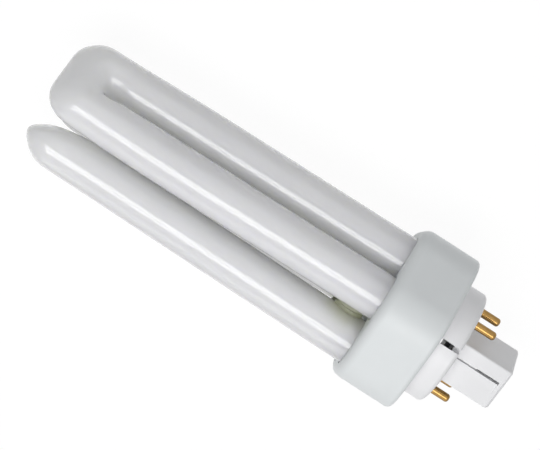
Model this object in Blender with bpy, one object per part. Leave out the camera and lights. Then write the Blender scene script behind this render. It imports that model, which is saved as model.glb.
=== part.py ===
"""Four pin compact fluorescent lamp: three fused U-tubes on a moulded plug-in base.

The lamp is modelled upright in its own frame. +Z runs from the base to the tips of the
tubes, Z = 0 is the back plane of the collar, and the pins and the post point down. An
empty then lays the lamp down as it comes to rest, on the front rim of the collar and on
the tip of one U-tube, with the tips towards +X.
"""
import math

import bmesh
import bpy
import numpy as np
from mathutils import Matrix, Vector

MM = 0.001

# Glass: six legs in three U-tubes
TUBE_RADIUS = 6.35 * MM
TUBE_LENGTH = 101.3 * MM        # front of the collar to the tips
SLOT_GAP = 0.9 * MM             # between the two legs of one U
TIP_GAP = 0.8 * MM              # between neighbouring U-tubes at their tips
FOOT_GAP = 2.9 * MM             # between neighbouring U-tubes at the collar
BEND_WEB = 12.8 * MM            # tip to the end of the slot
BEND_CORNER = 7.5 * MM
PINCH_DEPTH = 0.6 * MM          # each leg is pinched in towards the bend, from the outside
PINCH_LENGTH = 35.0 * MM
EYE_RADIUS = 1.1 * MM           # small eye that the slot ends in
EYE_LENGTH = 5.0 * MM           # along which the slot opens into its eye
OUTER_TAPER = 9.2 * MM          # the bend thins towards its tip on its outer side
OUTER_TIP_SHARE = 0.6
INNER_TAPER = 20.0 * MM         # and more slowly on the side that faces the axis
INNER_TIP_SHARE = 0.5
SEAL_HEIGHT = 4.0 * MM          # domed seal at the foot of a leg
BRIDGE_RADIUS = 3.5 * MM
BRIDGE_RISE = 6.0 * MM          # bridge centre above the front of the collar

# Collar
COLLAR_HEIGHT = 17.6 * MM
COLLAR_MARGIN = 3.35 * MM       # outside of the legs to the flats
COLLAR_CORNER = 12.2 * MM
COLLAR_WALL = 2.0 * MM
FRONT_WALL = 2.0 * MM
RIM_ROUND = 3.0 * MM
BACK_ROUND = 1.3 * MM
SEAT_LEDGE = 0.5 * MM           # ledge inside the collar that stops the cap

# Cap: plate, disc and post in one moulding
CAP_PLATE = 2.2 * MM
DISC_RADIUS = 16.5 * MM
DISC_HEIGHT = 6.9 * MM
DISC_WALL = 1.8 * MM
DISC_FLOOR = 2.0 * MM
DISC_ROUND = 1.2 * MM
NOTCH_WIDTH = 1.7 * MM
NOTCH_DEPTH = 2.6 * MM          # deeper than the wall, so it opens the disc
NOTCH_HEADING = math.radians(-63.4)
POST_WIDTH = 13.2 * MM
POST_LENGTH = 15.6 * MM
POST_WALL = 1.7 * MM
POST_EDGE = 0.5 * MM
POST_CHAMFER = 0.6 * MM
KEYWAY_OFFSET = 1.25 * MM       # keyway to the middle of its face
KEYWAY_WIDTH = 0.8 * MM
KEYWAY_DEPTH = 0.9 * MM
KEYWAY_STOP = 1.5 * MM          # solid post left beyond the keyway
LATCH_WIDTH = 3.5 * MM
LATCH_LENGTH = 7.0 * MM
LATCH_DEPTH = 1.2 * MM

# Contacts
PIN_PAIR_SPACING = 23.0 * MM    # from pair to pair, across the post
PIN_SPACING = 8.0 * MM          # within a pair
PIN_RADIUS = 1.175 * MM
PIN_LENGTH = 6.4 * MM
PIN_TIP = 0.8 * MM
FLANGE_RADIUS = 1.8 * MM
FLANGE_HEIGHT = 0.6 * MM
NECK_RADIUS = 1.0 * MM
NECK_HEIGHT = 1.6 * MM
BORE_RADIUS = 0.6 * MM
BORE_DEPTH = 5.0 * MM
WIRE_RADIUS = 0.3 * MM
WIRE_SPREAD = 0.9 * MM          # each lead from the middle of its seal

# Fits
FIT_GAP = 0.3 * MM
CEMENT_DEPTH = 5.0 * MM
LEAD_ROOM = 4.4 * MM            # left for the leads between the cap and the seals
OVERLAP = 1.0 * MM              # joined pieces run this far into each other, cutters past a face

# Fineness of the round forms
TUBE_SIDES = 24
BEND_STEPS = 18
SEAL_STEPS = 4
LEG_STEPS = 7
CORNER_STEPS = 6
ROUND_STEPS = 4
DISC_SIDES = 64
PIN_SIDES = 20
WIRE_STEPS = 14
SMOOTH_ANGLE = math.radians(32)
TILT_ROUNDS = 8                 # each brings the resting tilt closer

# Headings of the middles of the U-tubes round the axis, the first pointing at the ground
U_HEADINGS = [math.radians(90.0 + 120.0 * k) for k in range(3)]
# Each bridge joins the end leg of one U to the first leg of the next
BRIDGED = [(1, 2), (0, 1)]
HEX_SIDES = 6

# Values that follow from the sizes above
LEG_OFFSET = TUBE_RADIUS + SLOT_GAP / 2
SLOT_HALF = SLOT_GAP / 2
EYE_CENTRE = TUBE_LENGTH - BEND_WEB - EYE_RADIUS


def apothem_for(gap):
    """Distance from the axis to the plane of a U whose neighbour lies the gap away."""
    reach = TUBE_RADIUS + gap / 2 + LEG_OFFSET * math.cos(math.pi / 3)
    return reach / math.sin(math.pi / 3)


FOOT_APOTHEM = apothem_for(FOOT_GAP)
TIP_APOTHEM = apothem_for(TIP_GAP)
LEAN = math.atan2(FOOT_APOTHEM - TIP_APOTHEM, TUBE_LENGTH)
COLLAR_APOTHEM = FOOT_APOTHEM + TUBE_RADIUS + COLLAR_MARGIN
DISC_FACE = -DISC_HEIGHT
DISC_INSIDE = DISC_FACE + DISC_FLOOR
POST_END = DISC_FACE - POST_LENGTH
LEG_INSERT = COLLAR_HEIGHT - CAP_PLATE - LEAD_ROOM
NECK_TOP = DISC_INSIDE + FIT_GAP + FLANGE_HEIGHT + NECK_HEIGHT


def clear_scene():
    """Remove every object, so that the file holds the lamp alone."""
    for thing in list(bpy.data.objects):
        bpy.data.objects.remove(thing)


def finish(name, colour, roughness, metallic=0.0):
    """Return a Principled material of one colour."""
    material = bpy.data.materials.new(name)
    material.use_nodes = True
    shader = material.node_tree.nodes["Principled BSDF"]
    shader.inputs["Base Color"].default_value = (*colour, 1.0)
    shader.inputs["Roughness"].default_value = roughness
    shader.inputs["Metallic"].default_value = metallic
    material.diffuse_color = (*colour, 1.0)
    return material


def add_object(name, data, root, material=None):
    """Link an object that follows the lamp's empty."""
    thing = bpy.data.objects.new(name, data)
    bpy.context.scene.collection.objects.link(thing)
    thing.parent = root
    if material is not None:
        data.materials.append(material)
    return thing


def loft(name, rings):
    """Return a closed mesh through rings of equal count, with a flat cap at each end."""
    mesh = bpy.data.meshes.new(name)
    bm = bmesh.new()
    loops = [[bm.verts.new(point) for point in ring] for ring in rings]
    bm.faces.new(loops[0])
    bm.faces.new(loops[-1])
    for lower, upper in zip(loops, loops[1:]):
        for i, vertex in enumerate(lower):
            following = (i + 1) % len(lower)
            bm.faces.new((vertex, lower[following], upper[following], upper[i]))
    bmesh.ops.recalc_face_normals(bm, faces=bm.faces)
    bm.to_mesh(mesh)
    bm.free()
    mesh.shade_smooth()
    mesh.set_sharp_from_angle(angle=SMOOTH_ANGLE)
    return mesh


def revolve(name, profile, centre):
    """Return a closed mesh turned from a (radius, z) profile that starts and ends on the axis."""
    mesh = bpy.data.meshes.new(name)
    bm = bmesh.new()
    verts = [bm.verts.new((radius, 0.0, z)) for radius, z in profile]
    edges = [bm.edges.new(pair) for pair in zip(verts, verts[1:])]
    bmesh.ops.spin(bm, geom=verts + edges, cent=(0, 0, 0), axis=(0, 0, 1),
                   angle=math.tau, steps=PIN_SIDES, use_duplicate=False)
    bmesh.ops.remove_doubles(bm, verts=bm.verts, dist=0.001 * MM)
    bmesh.ops.recalc_face_normals(bm, faces=bm.faces)
    bmesh.ops.translate(bm, verts=bm.verts, vec=centre)
    bm.to_mesh(mesh)
    bm.free()
    mesh.shade_smooth()
    mesh.set_sharp_from_angle(angle=SMOOTH_ANGLE)
    return mesh


def at_height(outline, z):
    """Return the points of a flat outline at one height."""
    return [(x, y, z) for x, y in outline]


def circle(radius, sides, centre=(0.0, 0.0)):
    """Return a circle's points, anticlockwise."""
    turns = [math.tau * step / sides for step in range(sides)]
    return [(centre[0] + radius * math.cos(t), centre[1] + radius * math.sin(t)) for t in turns]


def rounded_polygon(sides, apothem, corner, first_corner):
    """Return a regular polygon's outline with each corner rounded by an arc."""
    half = math.pi / sides
    reach = (apothem - corner) / math.cos(half)
    points = []
    for side in range(sides):
        heading = first_corner + 2 * half * side
        for step in range(CORNER_STEPS + 1):
            turn = heading - half + 2 * half * step / CORNER_STEPS
            points.append((reach * math.cos(heading) + corner * math.cos(turn),
                           reach * math.sin(heading) + corner * math.sin(turn)))
    return points


def hexagon(inset):
    """Return the collar's outline, set in evenly."""
    return rounded_polygon(HEX_SIDES, COLLAR_APOTHEM - inset, COLLAR_CORNER - inset, 0.0)


def square(inset):
    """Return the post's outline, set in evenly where its corners allow it."""
    corner = max(POST_EDGE - inset, POST_EDGE / 4)
    return rounded_polygon(4, POST_WIDTH / 2 - inset, corner, math.pi / 4)


def disc_outline(inset):
    """Return the disc's outline, set in evenly."""
    return circle(DISC_RADIUS - inset, DISC_SIDES)


def rounded_edge(outline_at, radius, edge_z, inward):
    """Return rings that round an edge at edge_z, where inward is +1 when the solid lies above."""
    rings = []
    for step in range(ROUND_STEPS + 1):
        turn = math.pi / 2 * step / ROUND_STEPS
        inset = radius * (1 - math.sin(turn))
        rings.append(at_height(outline_at(inset), edge_z + inward * radius * (1 - math.cos(turn))))
    return rings


def use_tool(target, tool, operation):
    """Cut, or join, a hidden tool object with the target."""
    tool.hide_render = True
    tool.display_type = 'WIRE'
    modifier = target.modifiers.new(f"{operation.lower()}_{tool.name}", 'BOOLEAN')
    modifier.operation = operation
    modifier.object = tool
    modifier.solver = 'EXACT'


def u_frame(heading):
    """Return the frame of a U-tube: +X outward, +Y along its width, +Z up its leaning legs."""
    return (Matrix.Rotation(heading, 4, 'Z')
            @ Matrix.Translation((FOOT_APOTHEM, 0.0, COLLAR_HEIGHT))
            @ Matrix.Rotation(-LEAN, 4, 'Y'))


def leg_axis(heading, side, z_low, z_high):
    """Return two points on a leg's centre line, at heights above the front of the collar."""
    frame = u_frame(heading)
    return [frame @ Vector((0.0, side * LEG_OFFSET, z)) for z in (z_low, z_high)]


def leg_reach(z):
    """Distance from the middle of the U to the outside of a leg, which is pinched near the bend."""
    nearness = max(1.0 - (EYE_CENTRE - z) / PINCH_LENGTH, 0.0)
    return LEG_OFFSET + TUBE_RADIUS - PINCH_DEPTH * nearness ** 2


def bend_reach(turn):
    """Distance from the middle of the eye to the bend's rounded square outline."""
    half_width = leg_reach(EYE_CENTRE)
    height = BEND_WEB + EYE_RADIUS
    corner = min(BEND_CORNER, half_width, height)
    along = Vector((abs(math.cos(turn)), math.sin(turn)))
    centre = Vector((half_width - corner, height - corner))
    if along.y * half_width <= along.x * centre.y:
        return half_width / along.x
    if along.x * height <= along.y * centre.x:
        return height / along.y
    nearest = along.dot(centre)
    return nearest + math.sqrt(nearest ** 2 - centre.length_squared + corner ** 2)


def slot_half_width(z):
    """Half the slot's width at a height: even along the legs, then widening into the eye."""
    nearness = min(max(1.0 - (EYE_CENTRE - z) / EYE_LENGTH, 0.0), 1.0)
    return SLOT_HALF + (EYE_RADIUS - SLOT_HALF) * nearness ** 2 * (3.0 - 2.0 * nearness)


def thinned(point):
    """Flatten a U's point towards the tip, more slowly on the side that faces the axis."""
    taper, share = (OUTER_TAPER, OUTER_TIP_SHARE) if point.x > 0 else (INNER_TAPER, INNER_TIP_SHARE)
    from_tip = min((TUBE_LENGTH - point.z) / taper, 1.0)
    thickness = share + (1.0 - share) * math.sin(math.pi / 2 * from_tip)
    return Vector((point.x * thickness, point.y, point.z))


def tube_ring(centre, outward, inner, outer):
    """Return one elliptical section of the tube, between two distances from a centre."""
    middle, half_width = (outer + inner) / 2, (outer - inner) / 2
    ring = []
    for across, through in circle(1.0, TUBE_SIDES):
        point = centre + outward * (middle + half_width * across)
        ring.append(thinned(point + Vector((TUBE_RADIUS * through, 0.0, 0.0))))
    return ring


def leg_rings(side):
    """Return the rings of one leg, from the domed seal at its foot up to the eye."""
    rings = []
    for step in range(1, SEAL_STEPS + 1):
        turn = math.pi / 2 * step / SEAL_STEPS
        centre = Vector((0.0, side * LEG_OFFSET, -LEG_INSERT + SEAL_HEIGHT * (1 - math.cos(turn))))
        rings.append([centre + Vector((TUBE_RADIUS * math.sin(turn) * through,
                                       side * TUBE_RADIUS * math.sin(turn) * across, 0.0))
                      for across, through in circle(1.0, TUBE_SIDES)])
    shaped = max(PINCH_LENGTH, EYE_LENGTH, INNER_TAPER - (TUBE_LENGTH - EYE_CENTRE))
    for step in range(LEG_STEPS):
        z = EYE_CENTRE - shaped * (1.0 - step / LEG_STEPS) ** 2
        rings.append(tube_ring(Vector((0.0, 0.0, z)), Vector((0.0, side, 0.0)), slot_half_width(z),
                               leg_reach(z)))
    return rings


def u_tube(name, heading):
    """Return one U-tube as a loft: leg, squarish moulded bend and leg."""
    rings = leg_rings(1)
    eye = Vector((0.0, 0.0, EYE_CENTRE))
    for step in range(BEND_STEPS + 1):
        turn = math.pi * step / BEND_STEPS
        outward = Vector((0.0, math.cos(turn), math.sin(turn)))
        rings.append(tube_ring(eye, outward, EYE_RADIUS, bend_reach(turn)))
    rings += reversed(leg_rings(-1))
    frame = u_frame(heading)
    return loft(name, [[frame @ point for point in ring] for ring in rings])


def rod(name, start, end, radius, sides):
    """Return a plain cylinder between two points."""
    mesh = bpy.data.meshes.new(name)
    bm = bmesh.new()
    along = end - start
    place = Matrix.Translation((start + end) / 2) @ along.to_track_quat('Z', 'Y').to_matrix().to_4x4()
    bmesh.ops.create_cone(bm, cap_ends=True, segments=sides, radius1=radius, radius2=radius,
                          depth=along.length, matrix=place)
    bm.to_mesh(mesh)
    bm.free()
    return mesh


def block(name, low, high, heading=0.0):
    """Return a box between two corners, turned about the lamp's axis."""
    bottom = [(low[0], low[1]), (high[0], low[1]), (high[0], high[1]), (low[0], high[1])]
    turn = Matrix.Rotation(heading, 4, 'Z')
    rings = [[turn @ Vector(point) for point in at_height(bottom, z)] for z in (low[2], high[2])]
    return loft(name, rings)


def make_discharge_tube(root, glass):
    """Fuse three U-tubes and two bridges into the sealed glass body."""
    tube = add_object("discharge_tube", u_tube("discharge_tube", U_HEADINGS[0]), root, glass)
    for number, heading in enumerate(U_HEADINGS[1:], start=2):
        name = f"u_tube_{number}"
        use_tool(tube, add_object(name, u_tube(name, heading), root), 'UNION')
    for number, (first, second) in enumerate(BRIDGED, start=1):
        start = leg_axis(U_HEADINGS[first], 1, BRIDGE_RISE, TUBE_LENGTH)[0]
        end = leg_axis(U_HEADINGS[second], -1, BRIDGE_RISE, TUBE_LENGTH)[0]
        name = f"bridge_{number}"
        bridge = add_object(name, rod(name, start, end, BRIDGE_RADIUS, TUBE_SIDES), root)
        use_tool(tube, bridge, 'UNION')
    return tube


def make_leg_bores(root):
    """Return six cutters, each the fit gap wider than its leg."""
    bores = []
    for u_number, heading in enumerate(U_HEADINGS, start=1):
        for side in (-1, 1):
            low, high = leg_axis(heading, side, -LEG_INSERT, OVERLAP)
            name = f"leg_bore_{u_number}_{'a' if side < 0 else 'b'}"
            mesh = rod(name, low, high, TUBE_RADIUS + FIT_GAP, TUBE_SIDES)
            bores.append(add_object(name, mesh, root))
    return bores


def make_collar(root, plastic, bores):
    """Make the collar: a rounded hexagonal shell, closed in front but for the six legs."""
    rings = rounded_edge(hexagon, BACK_ROUND, 0.0, 1)
    rings += reversed(rounded_edge(hexagon, RIM_ROUND, COLLAR_HEIGHT, -1))
    collar = add_object("collar_housing", loft("collar_housing", rings), root, plastic)
    seat_top = CAP_PLATE + FIT_GAP
    steps = ((COLLAR_WALL - SEAT_LEDGE, -OVERLAP), (COLLAR_WALL - SEAT_LEDGE, seat_top),
             (COLLAR_WALL, seat_top), (COLLAR_WALL, COLLAR_HEIGHT - FRONT_WALL))
    cavity = loft("collar_cavity", [at_height(hexagon(inset), z) for inset, z in steps])
    use_tool(collar, add_object("collar_cavity", cavity, root), 'DIFFERENCE')
    for bore in bores:
        use_tool(collar, bore, 'DIFFERENCE')
    return collar


def make_cement(root, material, bores):
    """Make the cement cast behind the front wall, round the six legs."""
    top = COLLAR_HEIGHT - FRONT_WALL - FIT_GAP
    outline = hexagon(COLLAR_WALL + FIT_GAP)
    rings = [at_height(outline, top - CEMENT_DEPTH), at_height(outline, top)]
    cement = add_object("tube_cement", loft("tube_cement", rings), root, material)
    for bore in bores:
        use_tool(cement, bore, 'DIFFERENCE')
    return cement


def pin_places():
    """Return the four pin centres, pair by pair."""
    return [(pair * PIN_PAIR_SPACING / 2, place * PIN_SPACING / 2)
            for pair in (1, -1) for place in (1, -1)]


def make_cap_body(root, plastic):
    """Join the plate, the disc and the post."""
    plate_outline = hexagon(COLLAR_WALL - SEAT_LEDGE + FIT_GAP)
    plate = loft("base_cap", [at_height(plate_outline, 0.0), at_height(plate_outline, CAP_PLATE)])
    cap = add_object("base_cap", plate, root, plastic)
    rings = rounded_edge(disc_outline, DISC_ROUND, DISC_FACE, 1)
    rings.append(at_height(disc_outline(0.0), OVERLAP))
    use_tool(cap, add_object("cap_disc", loft("cap_disc", rings), root), 'UNION')
    rings = [at_height(square(POST_CHAMFER), POST_END), at_height(square(0.0), POST_END + POST_CHAMFER),
             at_height(square(0.0), DISC_FACE + OVERLAP)]
    use_tool(cap, add_object("cap_post", loft("cap_post", rings), root), 'UNION')
    return cap


def hollow_cap(root, cap):
    """Open the disc and the post from inside, and bore the pin holes with a well for each flange."""
    pockets = (("disc_pocket", disc_outline(DISC_WALL), DISC_INSIDE, CAP_PLATE + OVERLAP),
               ("post_pocket", square(POST_WALL), POST_END + POST_WALL, DISC_INSIDE + OVERLAP))
    for name, inside, low, high in pockets:
        pocket = loft(name, [at_height(inside, low), at_height(inside, high)])
        use_tool(cap, add_object(name, pocket, root), 'DIFFERENCE')
    hole, well = PIN_RADIUS + FIT_GAP, FLANGE_RADIUS + FIT_GAP
    profile = ((0.0, DISC_FACE - OVERLAP), (hole, DISC_FACE - OVERLAP), (hole, DISC_INSIDE),
               (well, DISC_INSIDE), (well, CAP_PLATE + OVERLAP), (0.0, CAP_PLATE + OVERLAP))
    for number, (x, y) in enumerate(pin_places(), start=1):
        name = f"pin_hole_{number}"
        use_tool(cap, add_object(name, revolve(name, profile, (x, y, 0.0)), root), 'DIFFERENCE')


def latch_wedge(name, heading):
    """Return the latch recess's cutter: deepest at the keyway, running out to nothing beyond it."""
    face = -POST_WIDTH / 2
    high = POST_END + KEYWAY_STOP + LATCH_LENGTH
    deep = (KEYWAY_OFFSET, face + LATCH_DEPTH)
    section = [(KEYWAY_OFFSET - LATCH_WIDTH, face), (KEYWAY_OFFSET - LATCH_WIDTH, face - LATCH_DEPTH),
               (KEYWAY_OFFSET, face - LATCH_DEPTH), deep]
    turn = Matrix.Rotation(heading, 4, 'Z')
    ends = (POST_END + KEYWAY_STOP, high)
    return loft(name, [[turn @ Vector(point) for point in at_height(section, z)] for z in ends])


def key_cap(root, cap):
    """Cut the key notch, the keyway and the latch recess, and again half a turn round."""
    for number, heading in enumerate((0.0, math.pi), start=1):
        notch = block("notch", (DISC_RADIUS - NOTCH_DEPTH, -NOTCH_WIDTH / 2, DISC_FACE - OVERLAP),
                      (DISC_RADIUS + NOTCH_DEPTH, NOTCH_WIDTH / 2, 0.0), NOTCH_HEADING + heading)
        keyway = block("keyway", (KEYWAY_OFFSET, -POST_WIDTH / 2 - KEYWAY_DEPTH, POST_END + KEYWAY_STOP),
                       (KEYWAY_OFFSET + KEYWAY_WIDTH, -POST_WIDTH / 2 + KEYWAY_DEPTH, DISC_FACE), heading)
        cuts = (("key_notch", notch), ("keyway", keyway), ("latch", latch_wedge("latch", heading)))
        for kind, mesh in cuts:
            use_tool(cap, add_object(f"{kind}_{number}", mesh, root), 'DIFFERENCE')


def pin_profile():
    """Return the section of a hollow, flanged pin, from its bore round to its tip."""
    flange = DISC_INSIDE + FIT_GAP
    tip = DISC_FACE - PIN_LENGTH
    profile = [(0.0, NECK_TOP - BORE_DEPTH), (BORE_RADIUS, NECK_TOP - BORE_DEPTH),
               (BORE_RADIUS, NECK_TOP), (NECK_RADIUS, NECK_TOP), (NECK_RADIUS, flange + FLANGE_HEIGHT),
               (FLANGE_RADIUS, flange + FLANGE_HEIGHT), (FLANGE_RADIUS, flange), (PIN_RADIUS, flange)]
    for step in range(ROUND_STEPS + 1):
        turn = math.pi / 2 * step / ROUND_STEPS
        profile.append((PIN_RADIUS - PIN_TIP * (1 - math.cos(turn)),
                        tip + PIN_TIP * (1 - math.sin(turn))))
    profile.append((0.0, tip))
    return profile


def make_pins(root, brass):
    """Make the four contact pins."""
    pins = []
    for number, (x, y) in enumerate(pin_places(), start=1):
        mesh = revolve(f"contact_pin_{number}", pin_profile(), (x, y, 0.0))
        pins.append(add_object(f"contact_pin_{number}", mesh, root, brass))
    return pins


def lead_route(start, well_mouth, bottom):
    """Return a lead's points: a smooth S from the seal to its well, then straight into the pin."""
    drop = start.z - well_mouth.z
    handles = (start, start - Vector((0, 0, drop)), well_mouth + Vector((0, 0, drop)), well_mouth)
    points = []
    for step in range(WIRE_STEPS + 1):
        t = step / WIRE_STEPS
        weights = ((1 - t) ** 3, 3 * t * (1 - t) ** 2, 3 * t ** 2 * (1 - t), t ** 3)
        points.append(sum((handle * weight for handle, weight in zip(handles, weights)), Vector()))
    points.append(Vector((well_mouth.x, well_mouth.y, bottom)))
    return points


def make_leads(root, wire):
    """Run two lead wires from each end leg of the discharge path to a pair of pins."""
    leads = []
    end_legs = ((U_HEADINGS[2], 1), (U_HEADINGS[0], -1))
    for number, (x, y) in enumerate(pin_places(), start=1):
        heading, side = end_legs[(number - 1) // 2]
        foot = leg_axis(heading, side, -LEG_INSERT, 0.0)[0]
        start = foot + Vector((0.0, math.copysign(WIRE_SPREAD, y), -FIT_GAP))
        well_mouth = Vector((x, y, CAP_PLATE + WIRE_RADIUS + FIT_GAP))
        points = lead_route(start, well_mouth, NECK_TOP - BORE_DEPTH + FIT_GAP)
        curve = bpy.data.curves.new(f"lead_wire_{number}", 'CURVE')
        curve.dimensions = '3D'
        curve.bevel_depth = WIRE_RADIUS
        curve.bevel_resolution = 2
        curve.use_fill_caps = True
        spline = curve.splines.new('POLY')
        spline.points.add(len(points) - 1)
        for knot, point in zip(spline.points, points):
            knot.co = (*point, 1.0)
        leads.append(add_object(f"lead_wire_{number}", curve, root, wire))
    return leads


def lamp_points(thing, depsgraph):
    """Return the points of a finished piece in the lamp's own frame."""
    evaluated = thing.evaluated_get(depsgraph)
    mesh = evaluated.to_mesh()
    points = np.empty(len(mesh.vertices) * 3)
    mesh.vertices.foreach_get("co", points)
    evaluated.to_mesh_clear()
    return points.reshape(-1, 3)


def rest_tilt(tube, collar, depsgraph):
    """Return the angle of the line that a bend and the collar's rim both touch."""
    tube_points, rim_points = lamp_points(tube, depsgraph), lamp_points(collar, depsgraph)
    bend_points = tube_points[tube_points[:, 2] > COLLAR_HEIGHT + EYE_CENTRE]
    tilt = 0.0
    for _ in range(TILT_ROUNDS):
        depth = np.array((0.0, math.cos(tilt), math.sin(tilt)))
        tip = bend_points[np.argmax(bend_points @ depth)]
        rim = rim_points[np.argmax(rim_points @ depth)]
        tilt = math.atan2(rim[1] - tip[1], tip[2] - rim[2])
    return tilt


def lay_down(root, pieces):
    """Lay the lamp on its first U-tube, with its lowest point and its middle at the origin."""
    bpy.context.view_layer.update()
    depsgraph = bpy.context.evaluated_depsgraph_get()
    by_name = {piece.name: piece for piece in pieces}
    tilt = rest_tilt(by_name["discharge_tube"], by_name["collar_housing"], depsgraph)
    lying = Matrix(((0, 0, 1, 0), (-1, 0, 0, 0), (0, -1, 0, 0), (0, 0, 0, 1)))
    turn = Matrix.Rotation(tilt, 4, 'Y') @ lying
    spin = np.array(turn.to_3x3())
    world = np.vstack([lamp_points(piece, depsgraph) @ spin.T for piece in pieces])
    low, high = world.min(axis=0), world.max(axis=0)
    shift = Vector((-(low[0] + high[0]) / 2, -(low[1] + high[1]) / 2, -low[2]))
    root.matrix_world = Matrix.Translation(shift) @ turn


def main():
    """Build the lamp."""
    clear_scene()
    glass = finish("phosphor_glass", (0.80, 0.81, 0.80), 0.2)
    plastic = finish("white_moulding", (0.78, 0.80, 0.81), 0.45)
    cement_finish = finish("cement", (0.70, 0.68, 0.62), 0.9)
    brass = finish("brass", (0.72, 0.52, 0.24), 0.25, 1.0)
    wire = finish("lead_wire", (0.55, 0.55, 0.56), 0.35, 1.0)
    root = bpy.data.objects.new("lamp_at_rest", None)
    bpy.context.scene.collection.objects.link(root)
    bores = make_leg_bores(root)
    pieces = [make_discharge_tube(root, glass), make_collar(root, plastic, bores),
              make_cement(root, cement_finish, bores)]
    cap = make_cap_body(root, plastic)
    hollow_cap(root, cap)
    key_cap(root, cap)
    pieces += [cap, *make_pins(root, brass), *make_leads(root, wire)]
    lay_down(root, pieces)


main()
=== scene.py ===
"""Looks of a four pin compact fluorescent lamp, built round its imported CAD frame.

Every piece is worked out in millimetres in the lamp's own frame, as the CAD is: +Z runs
from the base to the tips of the tubes, and Z = 0 is the back plane of the collar. One
resting pose then carries the points into the row frame, where the lamp lies on a table
with its tips towards +X.
"""

import logging
import math
from collections.abc import Callable, Sequence
from dataclasses import dataclass
from enum import Enum

import bpy
import numpy as np
from mathutils import Matrix, Vector
from numpy.typing import NDArray


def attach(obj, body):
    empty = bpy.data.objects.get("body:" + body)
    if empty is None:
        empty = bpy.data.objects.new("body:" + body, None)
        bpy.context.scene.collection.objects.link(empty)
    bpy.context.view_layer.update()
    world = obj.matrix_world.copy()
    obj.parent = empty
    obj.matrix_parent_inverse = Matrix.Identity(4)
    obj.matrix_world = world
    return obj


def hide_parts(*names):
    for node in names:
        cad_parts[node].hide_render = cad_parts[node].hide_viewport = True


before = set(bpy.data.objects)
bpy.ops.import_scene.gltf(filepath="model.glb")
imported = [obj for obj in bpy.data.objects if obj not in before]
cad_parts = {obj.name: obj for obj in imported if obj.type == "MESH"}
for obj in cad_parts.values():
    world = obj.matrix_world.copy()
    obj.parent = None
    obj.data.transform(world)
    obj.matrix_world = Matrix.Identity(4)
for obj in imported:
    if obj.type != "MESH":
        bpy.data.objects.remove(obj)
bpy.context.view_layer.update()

log = logging.getLogger("lamp")

Points = NDArray[np.float64]
Outline = Callable[[float], Points]
Triple = tuple[float, float, float]
Colour = Triple
Piece = bpy.types.Object

MM = 0.001
SMOOTH_BELOW = math.radians(30)
# share of the olive tint round the glass bridges: partly a thinner phosphor coat, partly painted
# shade in the crease between the U-tubes
COAT_AND_SHADE_SHARE = "coat_and_shade_share"
MIX_A, MIX_B, MIX_RESULT = 6, 7, 2     # the colour sockets of a Mix node
MOTTLE_DETAIL, GRAIN_DETAIL = 3.0, 2.0
MOTTLE_LOW, MOTTLE_HIGH = 0.3, 0.7     # noise levels that are all light and all dark
TINY = 1e-9


# Shapes


@dataclass(frozen=True)
class RestingPose:
    """How the lamp lies: on the flat of one U-tube and on the front rim of its collar."""

    back_centre: Triple = (-0.048243, 0.0, 0.023289)
    tilt: float = math.radians(2.6741)

    def turn(self) -> Points:
        """Return the rotation from the lamp's own frame to the row frame."""
        c, s = math.cos(self.tilt), math.sin(self.tilt)
        return np.array(((0.0, -s, c), (-1.0, 0.0, 0.0), (0.0, -c, -s)))

    def to_row(self, points: Points) -> Points:
        """Carry points from the lamp's own millimetres to the row frame's metres.

        Args:
            points: Points in the lamp's own frame, in millimetres.

        Returns:
            The same points in the row frame, in metres.
        """
        return points * MM @ self.turn().T + np.array(self.back_centre)


POSE = RestingPose()


def linked(name: str, data: bpy.types.ID) -> Piece:
    """Make an object and link it to the scene.

    Args:
        name: Name of the object.
        data: Its mesh, light or camera.

    Returns:
        The object.
    """
    thing = bpy.data.objects.new(name, data)
    bpy.context.scene.collection.objects.link(thing)
    return thing


def turned(points: Points, heading: float) -> Points:
    """Turn points about the lamp's axis by an angle in radians."""
    c, s = math.cos(heading), math.sin(heading)
    return points @ np.array(((c, s, 0.0), (-s, c, 0.0), (0.0, 0.0, 1.0)))


def circle(radius: float, sides: int) -> Points:
    """Return an anticlockwise circle of points in the plane."""
    turn = np.linspace(0.0, math.tau, sides, endpoint=False)
    return radius * np.stack((np.cos(turn), np.sin(turn)), axis=-1)


def rounded_polygon(sides: int, apothem: float, corner: float, first: float, steps: int) -> Points:
    """Return a regular polygon whose corners are arcs.

    Each corner's arc is centred on the line from the middle to the corner, where its circle
    touches both sides: at (apothem - corner) / cos(half the angle of a side).

    Args:
        sides: Number of sides.
        apothem: Distance from the middle to a side.
        corner: Radius of the arcs.
        first: Heading of the first corner, in radians.
        steps: Number of chords in each arc.

    Returns:
        The outline's points, anticlockwise.
    """
    half = math.pi / sides
    heading = first + 2 * half * np.arange(sides)[:, None]
    turn = heading + np.linspace(-half, half, steps + 1)[None, :]
    reach = (apothem - corner) / math.cos(half)
    x = reach * np.cos(heading) + corner * np.cos(turn)
    y = reach * np.sin(heading) + corner * np.sin(turn)
    return np.stack((x, y), axis=-1).reshape(-1, 2)


def quarter_round(radius: float, z: float, above: bool, steps: int) -> Points:
    """Return the profile of a rounded edge as (inset, height) pairs, from low to high.

    Args:
        radius: Radius of the rounding.
        z: Height of the flat face that the edge ends.
        above: True where the solid lies above that face.
        steps: Number of chords.

    Returns:
        Pairs of inset and height along a quarter of a circle.
    """
    turn = np.linspace(0.0, math.pi / 2, steps + 1)
    inset = radius * (1 - np.sin(turn))
    rise = radius * (1 - np.cos(turn))
    profile = np.stack((inset, z + (rise if above else -rise)), axis=-1)
    return profile if above else profile[::-1]


def carried(outline: Outline, profile: Points) -> Points:
    """Carry an outline along a profile: one ring at each (inset, height) pair.

    Args:
        outline: Gives the outline's points for an inset.
        profile: Pairs of inset and height, from low to high.

    Returns:
        Rings of points, as an array of shape (pairs, points, 3).
    """
    rings = []
    for inset, z in profile:
        flat = outline(float(inset))
        rings.append(np.column_stack((flat, np.full(len(flat), z))))
    return np.stack(rings)


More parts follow.
